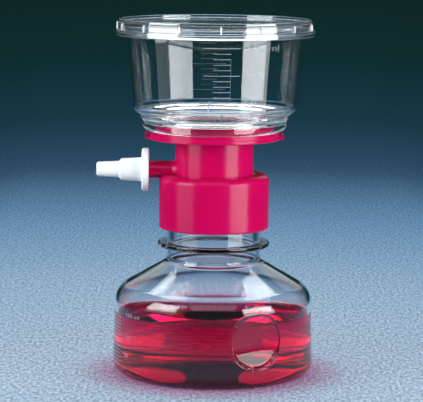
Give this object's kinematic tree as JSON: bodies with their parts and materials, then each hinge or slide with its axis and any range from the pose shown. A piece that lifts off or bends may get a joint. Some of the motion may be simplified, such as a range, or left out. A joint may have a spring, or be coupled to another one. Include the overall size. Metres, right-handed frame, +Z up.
{
  "type": "vacuum filtration unit",
  "caption": "Disposable vacuum filtration unit: clear funnel with lid on a screw-on base with side arm and tubing adapter, over a clear receiver bottle holding red filtrate.",
  "frame": {"origin": "centre of the receiver bottle's foot ring, on the surface that it stands on", "axes": "+Z up along the bottle's and funnel's common axis; the side arm and tubing adapter point along -X; -Y is the front"},
  "size_m": [0.099, 0.0912, 0.1615],
  "materials": {
    "bottle_clear": "clear polished polystyrene",
    "funnel_clear": "clear polished polystyrene",
    "lid_clear": "clear polished polystyrene",
    "red_liquid": "clear red liquid",
    "magenta_plastic": "satin moulded polypropylene",
    "white_plastic": "satin white polyethylene",
    "membrane_white": "matt microporous membrane",
    "cotton_white": "fibrous cotton",
    "seal_rubber": "soft pale gasket"
  },
  "bodies": {
    "receiver": {"receiver_bottle": "bottle_clear", "filtrate": "red_liquid"},
    "seal": {"neck_seal": "seal_rubber"},
    "head": {"filter_base": "magenta_plastic", "membrane": "membrane_white", "cotton_plug": "cotton_white", "funnel": "funnel_clear"},
    "lid": {"lid": "lid_clear"},
    "adapter": {"tubing_adapter": "white_plastic"}
  },
  "joints": [
    {"name": "head_rise", "type": "slide", "parent": "receiver", "child": "seal", "axis": [0, 0, 1], "range_m": [0, 0.00846]},
    {"name": "head_turn", "type": "hinge", "parent": "seal", "child": "head", "pos_m": [0, 0, 0.0782], "axis": [0, 0, 1], "range_deg": [0, 720]},
    {"name": "lid_lift", "type": "slide", "parent": "head", "child": "lid", "axis": [0, 0, 1], "range_m": [0, 0.03]},
    {"name": "adapter_pull", "type": "slide", "parent": "head", "child": "adapter", "axis": [-1, 0, 0], "range_m": [0, 0.015]}
  ],
  "couplings": [
    {"joint": "head_rise", "follows": "head_turn", "m_per_rad": 0.00067323}
  ]
}
